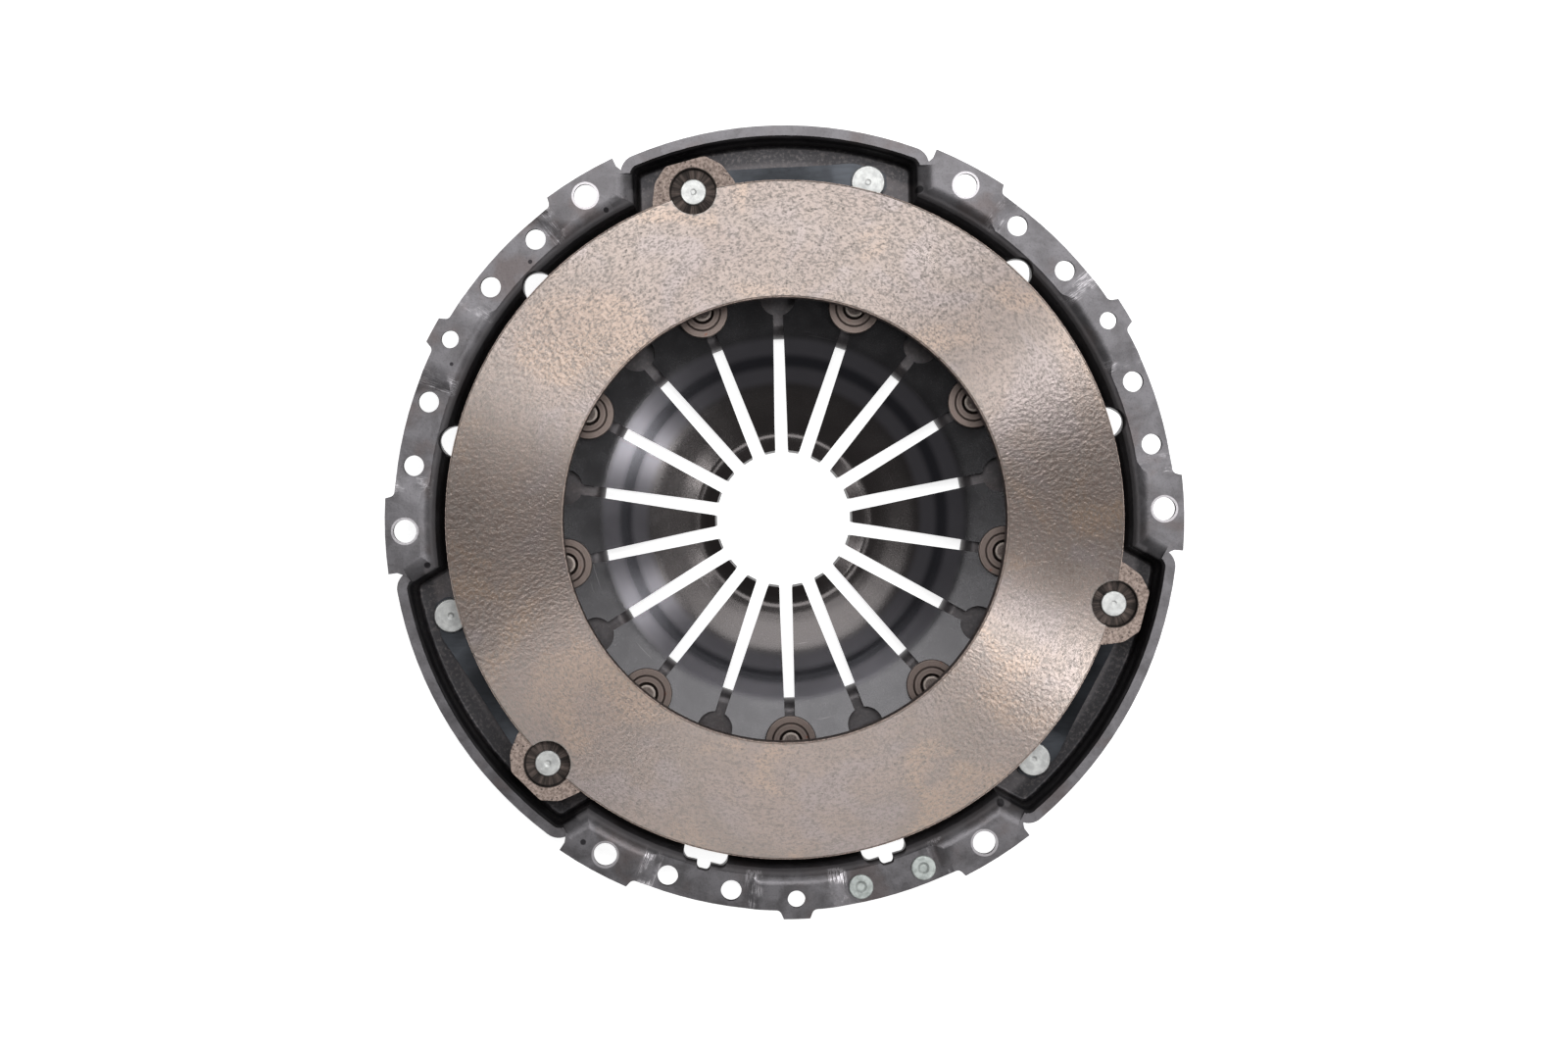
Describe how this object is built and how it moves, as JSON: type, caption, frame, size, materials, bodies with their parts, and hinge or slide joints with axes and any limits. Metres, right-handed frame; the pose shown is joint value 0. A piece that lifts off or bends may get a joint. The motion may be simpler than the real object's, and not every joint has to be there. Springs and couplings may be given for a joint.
{
  "type": "diaphragm spring clutch pressure plate",
  "caption": "Clutch cover assembly: pressed steel cover, cast friction ring on drive straps, and a fingered diaphragm spring on pivot rings that lifts the ring off the disc.",
  "frame": {"origin": "on the clutch axis, in the plane of the cover's mounting pads, which meet the flywheel", "axes": "+Z along the clutch axis towards the flywheel, +Y through the middle of the first strap pocket"},
  "size_m": [0.2826, 0.2806, 0.0425],
  "materials": {
    "pressed_steel": "dark phosphated pressed steel with rubbed edges",
    "friction_iron": "fine-turned grey iron friction face with a thin warm bloom",
    "spring_steel": "blue-black tempered and shot-peened spring steel",
    "ring_wire": "drawn wire",
    "rivet_steel": "plain formed steel",
    "disc_steel": "brown-grey pressed steel",
    "zinc_rivet": "dull zinc plate",
    "strap_steel": "blued spring steel strip"
  },
  "bodies": {
    "cover": {"cover": "pressed_steel", "front_pivot_ring": "ring_wire", "rear_pivot_ring": "ring_wire", "spacer_rivets": "rivet_steel", "rivet_discs": "disc_steel", "strap_cover_rivets": "zinc_rivet", "balance_rivets": "zinc_rivet", "strap_1_leaf_1": "strap_steel", "strap_1_leaf_2": "strap_steel", "strap_1_leaf_3": "strap_steel", "strap_2_leaf_1": "strap_steel", "strap_2_leaf_2": "strap_steel", "strap_2_leaf_3": "strap_steel", "strap_3_leaf_1": "strap_steel", "strap_3_leaf_2": "strap_steel", "strap_3_leaf_3": "strap_steel"},
    "pressure_plate": {"pressure_plate": "friction_iron", "lug_rivets": "zinc_rivet"},
    "finger_01": {"diaphragm_finger_01": "spring_steel"},
    "finger_02": {"diaphragm_finger_02": "spring_steel"},
    "finger_03": {"diaphragm_finger_03": "spring_steel"},
    "finger_04": {"diaphragm_finger_04": "spring_steel"},
    "finger_05": {"diaphragm_finger_05": "spring_steel"},
    "finger_06": {"diaphragm_finger_06": "spring_steel"},
    "finger_07": {"diaphragm_finger_07": "spring_steel"},
    "finger_08": {"diaphragm_finger_08": "spring_steel"},
    "finger_09": {"diaphragm_finger_09": "spring_steel"},
    "finger_10": {"diaphragm_finger_10": "spring_steel"},
    "finger_11": {"diaphragm_finger_11": "spring_steel"},
    "finger_12": {"diaphragm_finger_12": "spring_steel"},
    "finger_13": {"diaphragm_finger_13": "spring_steel"},
    "finger_14": {"diaphragm_finger_14": "spring_steel"},
    "finger_15": {"diaphragm_finger_15": "spring_steel"},
    "finger_16": {"diaphragm_finger_16": "spring_steel"},
    "finger_17": {"diaphragm_finger_17": "spring_steel"},
    "finger_18": {"diaphragm_finger_18": "spring_steel"}
  },
  "joints": [
    {"name": "plate_travel", "type": "slide", "parent": "cover", "child": "pressure_plate", "axis": [0, 0, -1], "range_m": [0, 0.0055], "stiffness_N_per_m": 20000, "springref_m": -0.012, "deforming": ["strap_1_leaf_1", "strap_1_leaf_2", "strap_1_leaf_3", "strap_2_leaf_1", "strap_2_leaf_2", "strap_2_leaf_3", "strap_3_leaf_1", "strap_3_leaf_2", "strap_3_leaf_3"]},
    {"name": "finger_01_tilt", "type": "hinge", "parent": "cover", "child": "finger_01", "pos_m": [0.0863, 0, -0.02746], "axis": [0, 1, 0], "range_deg": [0, 16]},
    {"name": "finger_02_tilt", "type": "hinge", "parent": "cover", "child": "finger_02", "pos_m": [0.0811, 0.02952, -0.02746], "axis": [-0.342, 0.9397, 0], "range_deg": [0, 16]},
    {"name": "finger_03_tilt", "type": "hinge", "parent": "cover", "child": "finger_03", "pos_m": [0.06611, 0.05547, -0.02746], "axis": [-0.6428, 0.766, 0], "range_deg": [0, 16]},
    {"name": "finger_04_tilt", "type": "hinge", "parent": "cover", "child": "finger_04", "pos_m": [0.04315, 0.07474, -0.02746], "axis": [-0.866, 0.5, 0], "range_deg": [0, 16]},
    {"name": "finger_05_tilt", "type": "hinge", "parent": "cover", "child": "finger_05", "pos_m": [0.01499, 0.08499, -0.02746], "axis": [-0.9848, 0.1736, 0], "range_deg": [0, 16]},
    {"name": "finger_06_tilt", "type": "hinge", "parent": "cover", "child": "finger_06", "pos_m": [-0.01499, 0.08499, -0.02746], "axis": [-0.9848, -0.1736, 0], "range_deg": [0, 16]},
    {"name": "finger_07_tilt", "type": "hinge", "parent": "cover", "child": "finger_07", "pos_m": [-0.04315, 0.07474, -0.02746], "axis": [-0.866, -0.5, 0], "range_deg": [0, 16]},
    {"name": "finger_08_tilt", "type": "hinge", "parent": "cover", "child": "finger_08", "pos_m": [-0.06611, 0.05547, -0.02746], "axis": [-0.6428, -0.766, 0], "range_deg": [0, 16]},
    {"name": "finger_09_tilt", "type": "hinge", "parent": "cover", "child": "finger_09", "pos_m": [-0.0811, 0.02952, -0.02746], "axis": [-0.342, -0.9397, 0], "range_deg": [0, 16]},
    {"name": "finger_10_tilt", "type": "hinge", "parent": "cover", "child": "finger_10", "pos_m": [-0.0863, 0, -0.02746], "axis": [0, -1, 0], "range_deg": [0, 16]},
    {"name": "finger_11_tilt", "type": "hinge", "parent": "cover", "child": "finger_11", "pos_m": [-0.0811, -0.02952, -0.02746], "axis": [0.342, -0.9397, 0], "range_deg": [0, 16]},
    {"name": "finger_12_tilt", "type": "hinge", "parent": "cover", "child": "finger_12", "pos_m": [-0.06611, -0.05547, -0.02746], "axis": [0.6428, -0.766, 0], "range_deg": [0, 16]},
    {"name": "finger_13_tilt", "type": "hinge", "parent": "cover", "child": "finger_13", "pos_m": [-0.04315, -0.07474, -0.02746], "axis": [0.866, -0.5, 0], "range_deg": [0, 16]},
    {"name": "finger_14_tilt", "type": "hinge", "parent": "cover", "child": "finger_14", "pos_m": [-0.01499, -0.08499, -0.02746], "axis": [0.9848, -0.1736, 0], "range_deg": [0, 16]},
    {"name": "finger_15_tilt", "type": "hinge", "parent": "cover", "child": "finger_15", "pos_m": [0.01499, -0.08499, -0.02746], "axis": [0.9848, 0.1736, 0], "range_deg": [0, 16]},
    {"name": "finger_16_tilt", "type": "hinge", "parent": "cover", "child": "finger_16", "pos_m": [0.04315, -0.07474, -0.02746], "axis": [0.866, 0.5, 0], "range_deg": [0, 16]},
    {"name": "finger_17_tilt", "type": "hinge", "parent": "cover", "child": "finger_17", "pos_m": [0.06611, -0.05547, -0.02746], "axis": [0.6428, 0.766, 0], "range_deg": [0, 16]},
    {"name": "finger_18_tilt", "type": "hinge", "parent": "cover", "child": "finger_18", "pos_m": [0.0811, -0.02952, -0.02746], "axis": [0.342, 0.9397, 0], "range_deg": [0, 16]}
  ],
  "couplings": [
    {"joint": "finger_01_tilt", "follows": "plate_travel", "rad_per_m": 49.261},
    {"joint": "finger_02_tilt", "follows": "plate_travel", "rad_per_m": 49.261},
    {"joint": "finger_03_tilt", "follows": "plate_travel", "rad_per_m": 49.261},
    {"joint": "finger_04_tilt", "follows": "plate_travel", "rad_per_m": 49.261},
    {"joint": "finger_05_tilt", "follows": "plate_travel", "rad_per_m": 49.261},
    {"joint": "finger_06_tilt", "follows": "plate_travel", "rad_per_m": 49.261},
    {"joint": "finger_07_tilt", "follows": "plate_travel", "rad_per_m": 49.261},
    {"joint": "finger_08_tilt", "follows": "plate_travel", "rad_per_m": 49.261},
    {"joint": "finger_09_tilt", "follows": "plate_travel", "rad_per_m": 49.261},
    {"joint": "finger_10_tilt", "follows": "plate_travel", "rad_per_m": 49.261},
    {"joint": "finger_11_tilt", "follows": "plate_travel", "rad_per_m": 49.261},
    {"joint": "finger_12_tilt", "follows": "plate_travel", "rad_per_m": 49.261},
    {"joint": "finger_13_tilt", "follows": "plate_travel", "rad_per_m": 49.261},
    {"joint": "finger_14_tilt", "follows": "plate_travel", "rad_per_m": 49.261},
    {"joint": "finger_15_tilt", "follows": "plate_travel", "rad_per_m": 49.261},
    {"joint": "finger_16_tilt", "follows": "plate_travel", "rad_per_m": 49.261},
    {"joint": "finger_17_tilt", "follows": "plate_travel", "rad_per_m": 49.261},
    {"joint": "finger_18_tilt", "follows": "plate_travel", "rad_per_m": 49.261}
  ]
}
